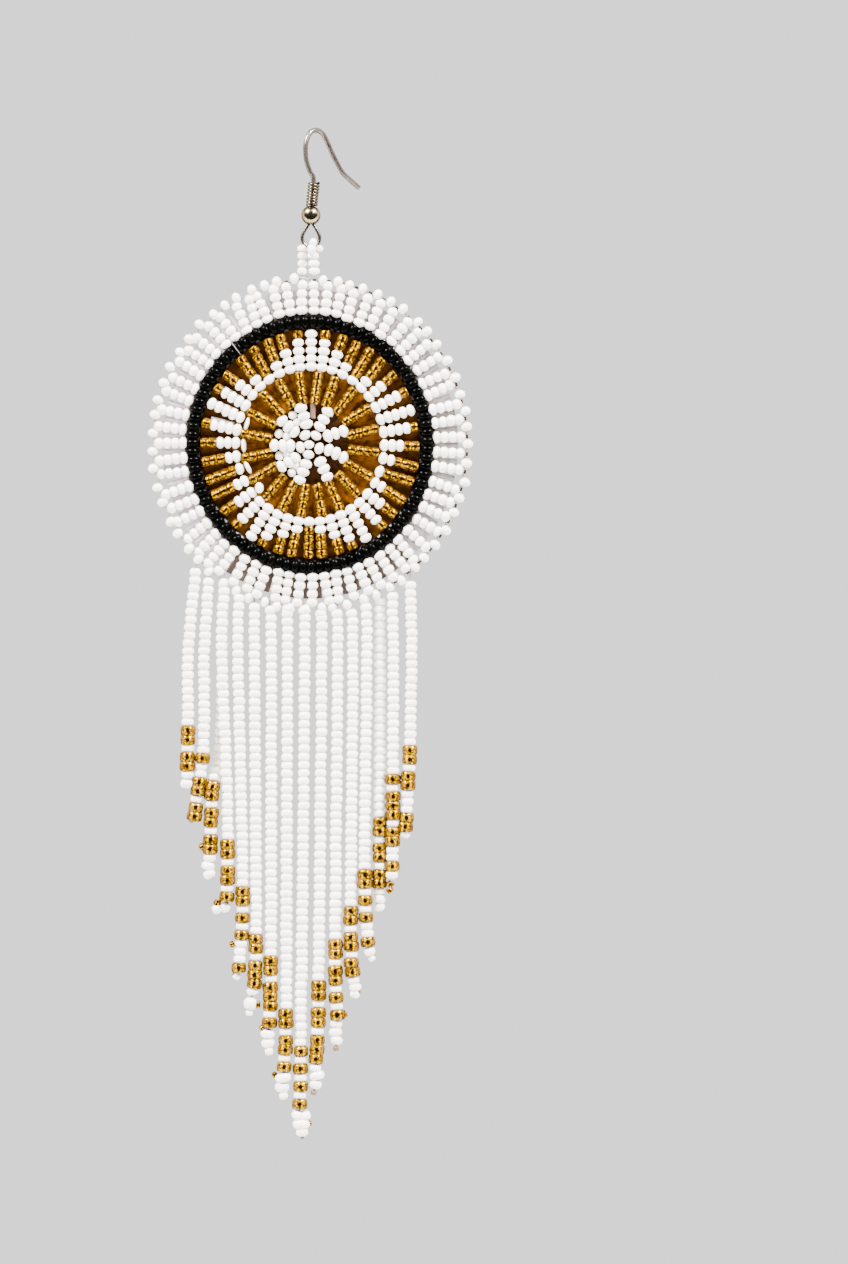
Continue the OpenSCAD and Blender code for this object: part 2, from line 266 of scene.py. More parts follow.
def backing_suede():
    """Split suede, brushed: the eye sees a short dull brown nap rubbed into streaks, and amber
    light from the gold beads on its face."""
    made, node, spot = material("brown_split_suede")
    centred = node("ShaderNodeMapping",
                   {"Vector": spot, "Location": (-DISC[0] * MM, 0, -DISC[1] * MM)})
    across, depth, up = node("ShaderNodeSeparateXYZ", {"Vector": centred}).outputs
    flat = node("ShaderNodeCombineXYZ", {"X": across, "Z": up})
    radius = node("ShaderNodeVectorMath", {0: flat}, operation="LENGTH")

    # Streaks that run out from the middle: noise by angle, stretched along the radius
    angle = node("ShaderNodeMath", {0: up, 1: across}, operation="ARCTAN2")
    wound = node("ShaderNodeCombineXYZ", {"X": angle, "Y": radius})
    drawn_out = node("ShaderNodeMapping", {"Vector": wound, "Scale": (14, 260, 1)})
    streak = node("ShaderNodeTexNoise",
                  {"Vector": drawn_out, "Scale": 1.0, "Detail": 3.0, "Roughness": 0.6})
    # The nap is drawn in tufts of a third of a millimetre, because its fibres are too fine to
    # show; over it lie patches where the hide was handled
    nap = node("ShaderNodeTexNoise",
               {"Vector": spot, "Scale": 1 / (0.35 * MM), "Detail": 3.0, "Roughness": 0.7})
    patch = node("ShaderNodeTexNoise",
                 {"Vector": spot, "Scale": 1 / (1.3 * MM), "Roughness": 0.6})
    rub = node("ShaderNodeMath", {0: streak, 1: patch}, operation="ADD")
    wear = node("ShaderNodeMath", {0: rub, 1: nap}, operation="ADD")
    worn = node("ShaderNodeMapRange", {"Value": wear, "From Min": 1.1, "From Max": 1.95})
    dark = node("ShaderNodeMix", {"Factor": worn, "A": linear("#1F0F04"),
                                  "B": linear("#3F240D")}, data_type="RGBA")
    rubbed = node("ShaderNodeMapRange", {"Value": rub, "From Min": 0.8, "From Max": 1.25})
    amber = node("ShaderNodeMix", {"Factor": rubbed, "A": linear("#3F1E00"),
                                   "B": linear("#875006")}, data_type="RGBA")

    # The amber light starts at the gold spokes and fades under the star's white inner ring
    outside = node("ShaderNodeMapRange",
                   {"Value": radius, "From Min": 6.2 * MM, "From Max": 7.6 * MM})
    front = node("ShaderNodeMapRange",
                 {"Value": depth, "From Min": 1.2 * MM, "From Max": 1.5 * MM,
                  "To Min": 1.0, "To Max": 0.0})
    under_star = node("ShaderNodeMapRange",
                      {"Value": radius, "From Min": 12.2 * MM, "From Max": 13.2 * MM,
                       "To Min": 1.0, "To Max": 0.3})
    lit_face = node("ShaderNodeMath", {0: outside, 1: front}, operation="MULTIPLY")
    light = node("ShaderNodeMath", {0: lit_face, 1: under_star}, operation="MULTIPLY")
    colour = node("ShaderNodeMix", {"Factor": light, "A": dark, "B": amber}, data_type="RGBA")
    gloss = node("ShaderNodeMapRange", {"Value": nap, "To Min": 0.75, "To Max": 0.95})
    fibres = node("ShaderNodeBump", {"Height": nap, "Distance": 0.06 * MM, "Strength": 0.8})
    shader = node("ShaderNodeBsdfPrincipled",
                  {"Base Color": colour, "Roughness": gloss, "Specular IOR Level": 0.05,
                   "Normal": fibres})
    node("ShaderNodeOutputMaterial", {"Surface": shader})
    return made


def nylon_thread(name, light, dark):
    """Drawn nylon beading thread: a waxy gloss, with light and dark where it is bunched."""
    return mottled(name, (light, dark), 0.8, (0.25, 0.4),
                   {"IOR": 1.53, "Specular IOR Level": 0.3})


def backdrop_paper():
    """Pale matt paper: an even grey with no shine."""
    made, node, spot = material("pale_backdrop_paper")
    speck = node("ShaderNodeTexNoise", {"Vector": spot, "Scale": 1 / (4 * MM)})
    gloss = node("ShaderNodeMapRange", {"Value": speck, "To Min": 0.8, "To Max": 0.9})
    shader = node("ShaderNodeBsdfPrincipled",
                  {"Base Color": linear("#D8D8D8"), "Roughness": gloss})
    node("ShaderNodeOutputMaterial", {"Surface": shader})
    return made


# Beads and wire, made by geometry nodes

def bead_blank(name, hole, square_hole, shoulder_radius, shoulder_height):
    """A bead one metre wide and long round a hole along Z, for the beading tree to shrink."""
    # Height and radius of the upper half's rings: the hole's mouth, the end, the shoulder and
    # the belly. The lower half mirrors them, and the last ring joins the first inside the hole.
    half, sides, crease_depth = 0.5, 10, 0.22
    upper = [(0.46, hole), (half, shoulder_radius - 0.14), (shoulder_height, shoulder_radius),
             (shoulder_height - 0.24, half)]
    profile = upper + [(-height, radius) for height, radius in reversed(upper)]
    shape = bmesh.new()
    crease_shade = shape.verts.layers.float.new("crease_shade")
    rings = []
    for height, radius in profile:
        ring = []
        for k in range(sides):
            a = math.tau * k / sides
            reach = radius
            if square_hole and radius == hole:
                reach = hole / max(abs(math.cos(a)), abs(math.sin(a)))
            corner = shape.verts.new((reach * math.cos(a), reach * math.sin(a), height))
            # How deep the corner lies towards the hole's mouth: the mask for the painted shade
            # where one bead meets the next
            corner[crease_shade] = min(1, (half - radius) / crease_depth)
            ring.append(corner)
        rings.append(ring)
    joined(shape, rings)
    if square_hole:
        for face in list(shape.faces)[-sides:]:
            face.smooth = False
    return shaped(name, shape)


def geometry_tree(name, inputs, output):
    """A new tree with its named inputs, the function that adds nodes to it, and what it is given.

    Each input has a kind and, where it needs one, a value to start from.
    """
    tree = bpy.data.node_groups.new(name, "GeometryNodeTree")
    for label, (kind, *start) in inputs.items():
        made = tree.interface.new_socket(name=label, in_out="INPUT", socket_type=kind)
        if start:
            made.default_value = start[0]
    tree.interface.new_socket(name=output, in_out="OUTPUT", socket_type="NodeSocketGeometry")
    node = partial(add, tree)
    return tree, node, node("NodeGroupInput").outputs


def beading_tree():
    """Sets a bead on each point along its thread, each turned and sized a little differently."""
    tree, node, given = geometry_tree("beading", {
        "Places": ["NodeSocketGeometry"], "Bead": ["NodeSocketObject"],
        "Glass": ["NodeSocketMaterial"], "Size spread": ["NodeSocketFloat", 0.03],
        "Tilt spread": ["NodeSocketFloat", 0.08], "Seed": ["NodeSocketInt", 1]}, "Beadwork")
    run, size = [node("GeometryNodeInputNamedAttribute", {"Name": name},
                      data_type="FLOAT_VECTOR") for name in ("thread_run", "bead_size")]

    # Each bead's hole lies along its thread, turned at random about it and tilted a little
    strung = node("FunctionNodeAlignRotationToVector", {"Vector": run}, axis="Z")
    less = node("ShaderNodeMath", {0: 0.0, 1: given["Tilt spread"]}, operation="SUBTRACT")
    tilt_low = node("ShaderNodeCombineXYZ", {"X": less, "Y": less})
    tilt_high = node("ShaderNodeCombineXYZ", {"X": given["Tilt spread"],
                                              "Y": given["Tilt spread"], "Z": math.tau})
    tilt = node("FunctionNodeRandomValue",
                {"Min": tilt_low, "Max": tilt_high, "Seed": given["Seed"]},
                data_type="FLOAT_VECTOR")
    turned = node("FunctionNodeRotateRotation", {"Rotation": strung, "Rotate By": tilt},
                  rotation_space="LOCAL")
    smaller = node("ShaderNodeMath", {0: 1.0, 1: given["Size spread"]}, operation="SUBTRACT")
    larger = node("ShaderNodeMath", {0: 1.0, 1: given["Size spread"]}, operation="ADD")
    spread = node("FunctionNodeRandomValue",
                  {"Min": smaller, "Max": larger, "Seed": given["Seed"]}, data_type="FLOAT")
    sized = node("ShaderNodeVectorMath", {0: size, "Scale": spread}, operation="SCALE")
    blank = node("GeometryNodeObjectInfo", {"Object": given["Bead"]}).outputs["Geometry"]
    set_on = node("GeometryNodeInstanceOnPoints",
                  {"Points": given["Places"], "Instance": blank, "Rotation": turned,
                   "Scale": sized})

    shade = node("FunctionNodeRandomValue", {"Min": 0.0, "Max": 1.0, "Seed": given["Seed"]},
                 data_type="FLOAT")
    shaded = node("GeometryNodeStoreNamedAttribute",
                  {"Geometry": set_on, "Name": "bead_shade", "Value": shade},
                  data_type="FLOAT", domain="INSTANCE")
    real = node("GeometryNodeRealizeInstances", {"Geometry": shaded})
    glazed = node("GeometryNodeSetMaterial", {"Geometry": real, "Material": given["Glass"]})
    node("NodeGroupOutput", {"Beadwork": glazed})
    return tree


def wire_tree():
    """Draws round wire or thread along each line of points, with closed ends."""
    tree, node, given = geometry_tree("wire_drawing", {
        "Lines": ["NodeSocketGeometry"], "Width": ["NodeSocketFloat", 0.6 * MM],
        "Sides": ["NodeSocketInt", 16], "Step": ["NodeSocketFloat", 0.3 * MM],
        "Finish": ["NodeSocketMaterial"]}, "Wire")
    line = node("GeometryNodeMeshToCurve", {"Mesh": given["Lines"]})
    soft = node("GeometryNodeCurveSplineType", {"Curve": line}, spline_type="CATMULL_ROM")
    even = node("GeometryNodeResampleCurve", {"Curve": soft, "Length": given["Step"]},
                mode="LENGTH")
    half = node("ShaderNodeMath", {0: given["Width"], 1: 0.5}, operation="MULTIPLY")
    section = node("GeometryNodeCurvePrimitiveCircle",
                   {"Resolution": given["Sides"], "Radius": half})
    skin = node("GeometryNodeCurveToMesh",
                {"Curve": even, "Profile Curve": section, "Fill Caps": True})
    smooth = node("GeometryNodeSetShadeSmooth", {"Geometry": skin})
    real = node("GeometryNodeRealizeInstances", {"Geometry": smooth})
    finished = node("GeometryNodeSetMaterial", {"Geometry": real, "Material": given["Finish"]})
    node("NodeGroupOutput", {"Wire": finished})
    return tree


def grown(name, mesh, tree, settings):
    """Runs a tree on a mesh and keeps the result as a plain mesh."""
    made = linked(name, mesh)
    work = made.modifiers.new("work", "NODES")
    work.node_group = tree
    for item in tree.interface.items_tree:
        if item.item_type == "SOCKET" and item.in_out == "INPUT" and item.name in settings:
            work[item.identifier] = settings[item.name]
    bpy.context.view_layer.update()
    ready = made.evaluated_get(bpy.context.evaluated_depsgraph_get())
    plain = bpy.data.meshes.new_from_object(ready)
    made.modifiers.remove(work)
    made.data = plain
    plain.name = name
    return made


class Beads:
    """Places of beads, each with the run of its thread and its width and length."""

    def __init__(self):
        self.rows = []

    def put(self, spot, run, width, length):
        self.rows.append((Vector(spot), Vector(run).normalized(), width, length))

    def made(self, name, blank, glass, seed, size_spread=0.03, tilt_spread=0.08):
        mesh = bpy.data.meshes.new(name + "_places")
        mesh.from_pydata([row[0] * MM for row in self.rows], [], [])
        runs = mesh.attributes.new("thread_run", "FLOAT_VECTOR", "POINT")
        sizes = mesh.attributes.new("bead_size", "FLOAT_VECTOR", "POINT")
        middles = mesh.attributes.new("bead_middle", "FLOAT_VECTOR", "POINT")
        for i, (spot, run, width, length) in enumerate(self.rows):
            middles.data[i].vector = spot * MM
            runs.data[i].vector = run
            sizes.data[i].vector = Vector((width, width, length)) * MM
        return grown(name, mesh, BEADING,
                     {"Bead": blank, "Glass": glass, "Seed": seed,
                      "Size spread": size_spread, "Tilt spread": tilt_spread})


def wires(name, lines, width, finish, sides=16, step=0.3):
    """One piece of wire or thread along several lines of points."""
    corners, edges = [], []
    for line in lines:
        start = len(corners)
        corners += [Vector(p) * MM for p in line]
        edges += [(start + i, start + i + 1) for i in range(len(line) - 1)]
    mesh = bpy.data.meshes.new(name + "_lines")
    mesh.from_pydata(corners, edges, [])
    return grown(name, mesh, WIRE_DRAWING,
                 {"Width": width * MM, "Sides": sides, "Step": step * MM, "Finish": finish})


# The disc

DROP_Y = -0.3           # the upright plane of the beadwork
DISC = (-0.88, -51.9)   # x and z of its middle
OVAL = 0.022            # a touch higher than it is wide
CROWDING = 2.6          # degrees that a column shifts at most: they crowd at top and bottom
OUTER_COLUMNS = 63
FIRST_COLUMN = 2.5      # degrees from the right, as every angle on the disc
BAIL_GAP = 15           # the gap at the top, where the bail is sewn on and no rim bead sits

# Radius, width and length of the beads in each row
OUTER_ROWS = [(21.7, 1.97, 1.5), (23.05, 1.84, 1.66), (24.45, 1.8, 1.66), (25.85, 1.76, 1.66)]
# Radius of each row, and width of a white bead in it
STAR_ROWS = [(12.67, 2.0), (14.0, 1.96), (15.33, 1.92), (16.67, 1.92), (18.0, 1.98)]
# Radius of each bead in a gold spoke and in an arm of the rosette
SPOKE_ROWS = [7.25, 8.58, 9.92, 11.25]
ARM_ROWS = [3.33, 4.67, 6.1]


def crowded(angle):
    """Where a column stands that even spacing would put at the angle."""
    return angle + CROWDING * math.sin(math.radians(2 * angle))


def outer_column(place):
    """The angle of an outer column by its number, or with a half added, of the gap after it."""
    return crowded(FIRST_COLUMN + 360 * place / OUTER_COLUMNS)


def on_disc(radius, angle, back=0.0):
    """The point at a radius and an angle of the disc, set back from its plane."""
    a = math.radians(angle)
    return Vector((DISC[0] + radius * (1 - OVAL) * math.cos(a), DROP_Y + back,
                   DISC[1] + radius * (1 + OVAL) * math.sin(a)))


def outward(angle):
    """The way from the disc's middle to its rim."""
    return on_disc(1, angle) - on_disc(0, angle)


def round_about(angle):
    """The way along a ring of the disc."""
    return outward(angle + 90)


def outer_band_beads(chance):
    """Spread columns of four white beads, with one bead across each gap at the rim."""
    beads = Beads()
    for i in range(OUTER_COLUMNS):
        lean, shift = chance.uniform(-1.1, 1.1), chance.uniform(-0.18, 0.18)
        back = chance.uniform(-0.2, 0.2)
        start = outer_column(i) + chance.uniform(-0.35, 0.35)
        for row, (radius, width, length) in enumerate(OUTER_ROWS):
            angle = start + lean * row / 3
            beads.put(on_disc(radius + shift, angle, back), outward(angle), width, length)
        if i != BAIL_GAP:
            angle = outer_column(i + 0.5) + chance.uniform(-0.8, 0.8)
            radius = 26.95 + chance.uniform(-0.25, 0.2)
            back = chance.uniform(-0.2, 0.2)
            beads.put(on_disc(radius, angle, back), round_about(angle), 1.8, 1.55)
    return beads


def black_ring_beads(chance):
    """One ring of black beads in line, like a cord round the star."""
    beads = Beads()
    count = 91
    for i in range(count):
        angle = 360 * i / count + 1.5
        radius = 20.02 + chance.uniform(-0.04, 0.04)
        beads.put(on_disc(radius, angle), round_about(angle), 2.4, 1.55)
    return beads


def star_beads(chance):
    """Forty columns of five: white from the inside in steps of five down to one and back."""
    white, gold = Beads(), Beads()
    columns, first_peak, columns_a_point = 40, 2, 8
    for i in range(columns):
        from_peak = (i - first_peak) % columns_a_point
        count = len(STAR_ROWS) - min(from_peak, columns_a_point - from_peak)
        lean, back = chance.uniform(-1.4, 1.4), chance.uniform(-0.15, 0.1)
        start = crowded(-0.8 + 360 * i / columns) + chance.uniform(-0.3, 0.3)
        for row, (radius, width) in enumerate(STAR_ROWS):
            angle = start + lean * (row - 1) / 4
            if row < count:
                white.put(on_disc(radius, angle, back), outward(angle), width, 1.5)
            else:
                gold.put(on_disc(radius, angle, back + 0.1), outward(angle), 1.85, 1.42)
    # One white bead strayed over the gold spokes, and three stand on edge beside the inner ring
    white.put(on_disc(11.2, 219.5, -0.5), outward(190), 1.8, 1.4)
    for angle in (163, 181, 199):
        white.put(on_disc(11.3, angle, 0.35), outward(angle), 2.5, 0.75)
    return white, gold


def gold_spoke_beads(chance):
    """Twenty spokes of four gold beads between the rosette and the star."""
    beads = Beads()
    spokes = 20
    for i in range(spokes):
        lean = chance.uniform(-1.2, 1.2)
        for row, radius in enumerate(SPOKE_ROWS):
            angle = crowded(-7 + 360 * i / spokes) + lean * row / 3
            beads.put(on_disc(radius, angle, chance.uniform(0, 0.1)), outward(angle), 1.8, 1.42)
    return beads


def rosette_beads(chance):
    """One bead, a ring of five and nine short arms, with four arms set back between them."""
    beads = Beads()
    beads.put(on_disc(0.2, 200, -0.1), outward(90), 1.7, 1.4)
    for angle in (55, 120, 196.5, 261, 336.5):
        beads.put(on_disc(1.72, angle), outward(angle), 1.9, 1.45)
    for angle in (22, 60, 103, 142, 183, 219, 255, 300, 341):
        lean = chance.uniform(-3, 3)
        for row, radius in enumerate(ARM_ROWS):
            beads.put(on_disc(radius, angle + lean * (row - 1), -0.05), outward(angle),
                      2.08, 1.56)
    for angle in (122, 162, 200, 236):
        for radius in (4.2, 5.6):
            beads.put(on_disc(radius, angle, 0.42), outward(angle), 1.5, 1.4)
    return beads


def leather_backing():
    """A disc of suede cut by hand: its faces lie a little uneven and its edge is soft."""
    chance = random.Random(7)
    rings, spokes = (0, 3, 6, 9, 12, 15, 17.5, 18.9, 19.3), 72
    edge, softness, cut_from = rings[-1], 0.12, 18
    front, back = 0.86, 1.83
    waves = [(chance.uniform(0, math.tau), k) for k in (2, 3, 5)]

    def dent(radius, angle):
        return 0.05 * sum(math.sin(k * angle + start) for start, k in waves) * radius / edge

    shape = bmesh.new()
    layers = []
    for depth, inset in ((front, softness), (front + softness, 0), (back - softness, 0),
                         (back, softness)):
        inwards = 1 if depth < (front + back) / 2 else -1
        layer = []
        for radius in (rings if inset else rings[-1:]):
            ring = []
            for k in range(spokes if radius else 1):
                a = math.tau * k / spokes
                reach = radius - (inset if radius == edge else 0)
                if radius > cut_from:
                    reach += 0.06 * math.sin(7 * a) + 0.05 * math.sin(17 * a + 1)
                spot = on_disc(reach, math.degrees(a))
                spot.y = depth + inwards * abs(dent(radius, a))
                ring.append(shape.verts.new(spot * MM))
            layer.append(ring)
        layers.append(layer)

    outline = [layer[-1] for layer in layers]
    bands = [*zip(layers[0], layers[0][1:]), *zip(layers[3], layers[3][1:]),
             *zip(outline, outline[1:])]
    for first, second in bands:
        for k in range(spokes):
            n = (k + 1) % spokes
            if len(first) == 1:
                corners = (first[0], second[k], second[n])
            else:
                corners = (first[k], second[k], second[n], first[n])
            shape.faces.new(corners).smooth = True
    return shaped("leather_backing", shape, SUEDE)


# Bail and ear wire

def bail_beads():
    """Two short strings of beads side by side that turn over the wire's loop, front and back."""
    beads = Beads()
    up, across = Vector((0, 0, 1)), Vector((1, 0, 0))
    for face in (-1, 1):
        beads.put((-0.34, DROP_Y + face * 1.3, -18.4), across, 1.5, 1.3)
        beads.put((-0.6, DROP_Y + face * 1.35, -19.5), across, 1.8, 1.6)
    beads.put((-2.2, DROP_Y + 0.1, -19.3), up, 1.65, 1.3)
    beads.put((0.62, DROP_Y + 0.1, -19.3), up, 1.4, 1.2)
    for z, left, right in ((-20.5, -2.2, -0.35), (-21.8, -2.15, -0.26), (-23.05, -2.22, -0.2)):
        beads.put((left, DROP_Y, z), up, 1.62, 1.42)
        beads.put((right, DROP_Y, z), up, 1.92, 1.42)
    return beads


HOOK_TURN = math.radians(45)   # the hook's plane stands halfway out of the disc's
BALL = (-0.75, -13.75)         # x and z of the ball's middle
# The hook from its tail over the arch to the stem, as reach and z in its own plane
HOOK_BEND = [(10.1, -8.6), (8.75, -7.81), (7.35, -7), (6.2, -6.2), (5.05, -4.75), (3.9, -3.2),
             (3, -1.75), (2.05, -0.4), (1.1, 0.28), (0, 0.45), (-0.85, 0.2), (-1.55, -0.45),
             (-2.2, -1.95), (-2.25, -3.8), (-1.9, -5.2), (-1.2, -6.6), (-0.42, -8)]
# The loop's right side downwards, as x from the ball's middle and z; the left side mirrors it
LOOP_SIDE = [(0.35, -14.4), (0.38, -15.2), (0.84, -15.95), (1.22, -16.65), (1.46, -17.45),
             (1.28, -18.3), (0.76, -18.9)]


def ear_wire_lines():
    """The hook from its tail over the arch and down the stem; the loop under the ball."""
    hook = [(s * math.cos(HOOK_TURN), s * math.sin(HOOK_TURN), z) for s, z in HOOK_BEND]
    stem = [(BALL[0], DROP_Y, BALL[1]), (BALL[0], DROP_Y, -14.6)]
    loop = [(BALL[0] + s, DROP_Y, z) for s, z in LOOP_SIDE] + [(BALL[0], DROP_Y, -19.1)] \
        + [(BALL[0] - s, DROP_Y, z) for s, z in reversed(LOOP_SIDE)]
    return hook + stem, loop


def coil_line():
    """A close helix of fine wire round the leaning stem."""
    top, bottom, turns, reach, steps_a_turn = -8.3, -12.3, 7.75, 0.8, 16
    lean = math.atan2(0.4, 3.9)
    steps = int(turns * steps_a_turn)
    line = []
    for i in range(steps + 1):
        down = (top - bottom) * i / steps
        a = math.tau * turns * i / steps
        spot = Vector((reach * math.cos(a), reach * math.sin(a), -down))
        spot.rotate(Matrix.Rotation(lean, 3, "Y"))
        line.append(spot + Vector((-0.22, DROP_Y, top)))
    return [line]


def drilled_ball(metal):
    """A rolled metal bead: a true ball with a rim turned into its bore."""
    radius, bore, turns, sides = 1.6, 0.75, 28, 48
    edge = math.asin(bore / radius)
    lip_reach, lip_height = bore - 0.02, radius * math.cos(edge) - 0.25
    arc = [edge + (math.pi - 2 * edge) * i / turns for i in range(turns + 1)]
    profile = [(lip_reach, lip_height)]
    profile += [(radius * math.sin(a), radius * math.cos(a)) for a in arc]
    profile += [(lip_reach, -lip_height)]
    shape = bmesh.new()
    rings = []
    for reach, height in profile:
        ring = []
        for k in range(sides):
            a = math.tau * k / sides
            spot = Vector((BALL[0] + reach * math.cos(a), DROP_Y + reach * math.sin(a),
                           BALL[1] + height))
            ring.append(shape.verts.new(spot * MM))
        rings.append(ring)
    joined(shape, rings)
    return shaped("drilled_ball", shape, metal)


# The fringe

# Each strand: its beads from the top, w white and g gold; x and z of its top, hang, bend and
# tip; and how far it is set back at the top and at the tip
STRANDS = [
    ("20w 2g 1w 2g", [(-19.9, -72.6), (-21.15, -86), (-21.25, -98.5), (-21.38, -106.3)], 0, 0),
    ("23w 1g 2w 2g 1w 2g", [(-17.75, -74.2), (-18.5, -86), (-18.65, -102), (-20.3, -114.6)], 0, 0),
    ("24w 2g 1w 2g 1w 2g", [(-15.4, -76.5), (-15.9, -101.2), (-17.15, -109.3),
                            (-17.6, -120.1)], 2.3, 0),
    ("32w 2g 1w 2g 1w 1g", [(-15.1, -75.7), (-15.6, -86), (-14.7, -111.2), (-14.7, -128.1)],
     0, 0),
    ("37w 2g 1w 1g 1w 1g 3w 1g", [(-12.6, -76.9), (-12.9, -86), (-12.1, -126.6),
                                  (-12.8, -139.9)], 0, 0),
    ("42w 2g 1w 3g", [(-10.15, -78.4), (-10.15, -86), (-9.9, -134), (-10.35, -142.5)], 0, 0),
    ("44w 2g 1w 3g 1w 1g", [(-7.6, -79.2), (-7.35, -86), (-7.4, -137.5), (-7.75, -149.1)],
     0, 0),
    ("51w 2g 1w 2g 1w 1g", [(-4.75, -79.8), (-4.65, -86), (-4.95, -147), (-5.35, -156.4)],
     0, 0),
    ("55w 1g 1w 1g 1w 1g 1w 1g", [(-2.1, -80.1), (-1.75, -86), (-2.45, -153), (-2.55, -162.6)],
     0, 0),
    ("46w 2g 1w 2g 1w 3g", [(0.75, -80.6), (1.05, -86), (0.55, -142), (0.1, -155.1)], 0, 0),
    ("41w 2g 1w 2g 1w 1g 1w 1g", [(3.4, -80.1), (3.7, -86), (3.3, -135), (3.65, -147.8)], 0, 0),
    ("38w 2g 1w 2g 1w 2g", [(5.75, -79.6), (6.25, -86), (5.9, -131), (6.2, -140.6)], 0, 0),
    ("34w 2g 1w 1g 1w 1g 2w 1g", [(8.45, -78.4), (8.6, -86), (8.2, -124.5), (8.85, -135.6)],
     0, 0),
    ("28w 2g 1w 2g 1w 2g", [(10.7, -77.4), (10.75, -86), (10.75, -116.7), (10.7, -125.9)],
     1.1, 0.7),
    ("23w 1g 1w 3g 1w 2g 2w 1g 1w", [(12.8, -76.6), (12.95, -86), (12.95, -108.8),
                                     (12.8, -124.3)], 0, 0),
    ("21w 2g 1w 2g 3w 2g", [(15.8, -74.8), (16.05, -86), (15.7, -103), (15, -116.4)], 0, 0),
]
# What gathers at each tip: beads that turn the thread back, w white and g gold, and k the knot,
# as kind, x, z, width, length and the angle that its thread leans to the left
TIPS = {
    1: [("w", -21.3, -106.93, 2.08, 1.42, 0), ("w", -21.38, -108.5, 2.25, 1.5, 6)],
    2: [("k", -20.67, -114.67, 0.83, 0.67, 0)],
    3: [("w", -17.58, -120.8, 2.0, 1.42, 0), ("w", -17.88, -122.17, 2.33, 1.5, 10),
        ("w", -17.65, -123.5, 2.08, 1.5, -25), ("g", -18.88, -118.97, 1.17, 1.0, 60)],
    4: [("w", -15.0, -129.07, 1.67, 1.67, 75), ("w", -16.38, -129.38, 1.58, 1.67, 80),
        ("g", -16.35, -128.33, 1.25, 1.0, 20)],
    5: [("w", -13.12, -140.53, 1.42, 1.17, 20), ("k", -13.62, -140.27, 0.67, 0.67, 0),
        ("g", -13.88, -135.22, 1.08, 0.83, 60)],
    6: [("w", -10.45, -143.1, 2.0, 1.33, 0), ("w", -10.8, -145.13, 2.25, 2.0, 10),
        ("g", -9.72, -145.27, 1.17, 1.17, 0), ("w", -11.02, -146.67, 1.25, 1.0, 0)],
    7: [("w", -7.93, -150.13, 2.5, 1.58, 5), ("w", -7.88, -151.7, 2.33, 1.58, -5),
        ("w", -7.7, -153.05, 1.42, 1.33, -10), ("g", -8.88, -149.17, 1.0, 0.83, 50)],
    8: [("w", -5.33, -157.43, 2.83, 1.67, -8), ("w", -5.52, -159.05, 2.42, 1.67, 8),
        ("w", -5.3, -160.43, 1.5, 1.33, -10), ("g", -6.75, -156.97, 1.08, 0.83, 50)],
    9: [("w", -2.92, -163.75, 2.17, 1.67, 30), ("w", -1.83, -163.83, 2.17, 1.67, -25),
        ("w", -2.33, -165.17, 3.0, 1.67, 0), ("w", -2.2, -166.5, 2.0, 1.5, 0),
        ("g", -1.12, -165.1, 1.0, 1.0, 80), ("k", -2.18, -167.47, 0.58, 0.58, 0)],
    10: [("w", -0.02, -155.8, 2.0, 1.42, 0), ("w", 0.22, -157.13, 2.67, 1.58, -12),
        ("w", 0.02, -158.57, 2.08, 1.5, 10), ("k", -0.28, -159.93, 1.08, 0.92, 0)],
    11: [("w", 3.42, -148.5, 2.17, 1.42, 5), ("w", 3.32, -149.87, 2.25, 1.42, -5),
        ("w", 3.53, -151.2, 2.0, 1.42, 10), ("k", 3.42, -152.58, 1.0, 1.0, 0),
        ("g", 4.78, -146.9, 1.17, 1.0, 60)],
    12: [("w", 6.35, -141.22, 1.92, 1.42, -15), ("w", 6.62, -142.37, 2.08, 1.33, -10),
        ("w", 6.58, -143.53, 1.75, 1.42, 10), ("k", 7.35, -143.13, 0.58, 0.67, 0)],
    13: [("w", 9.05, -136.43, 1.83, 1.5, -20), ("w", 9.42, -137.57, 1.17, 1.0, -30),
        ("k", 9.75, -137.08, 0.58, 0.58, 0)],
    14: [("w", 10.65, -126.43, 2.0, 1.33, 0), ("w", 10.75, -127.7, 2.0, 1.42, 5),
        ("w", 10.65, -129.03, 1.92, 1.5, -10)],
    15: [("g", 12.45, -125.23, 1.25, 1.0, 40), ("g", 12.38, -126.17, 1.17, 0.92, -40)],
    16: [("w", 14.9, -116.9, 1.83, 1.33, 10)],
}
BEAD_SIZES = {"w": (2.14, 1.32), "g": (2.62, 1.53)}   # width and length of a strand's beads


def soft_line(points, steps=12):
    """A smooth line through the points, each stretch cut into as many steps."""
    line = []
    for i in range(len(points) - 1):
        a, b, c, d = (points[max(i - 1, 0)], points[i], points[i + 1],
                      points[min(i + 2, len(points) - 1)])
        for s in range(steps):
            t = s / steps
            line.append(0.5 * (2 * b + (c - a) * t + (2 * a - 5 * b + 4 * c - d) * t ** 2
                               + (3 * b - a - 3 * c + d) * t ** 3))
    return line + [points[-1]]


def along_line(line, reach):
    """The point at a distance along a line, and the line's direction there."""
    for first, second in zip(line, line[1:]):
        run = second - first
        if reach <= run.length or second is line[-1]:
            return first + run.normalized() * reach, run.normalized()
        reach -= run.length


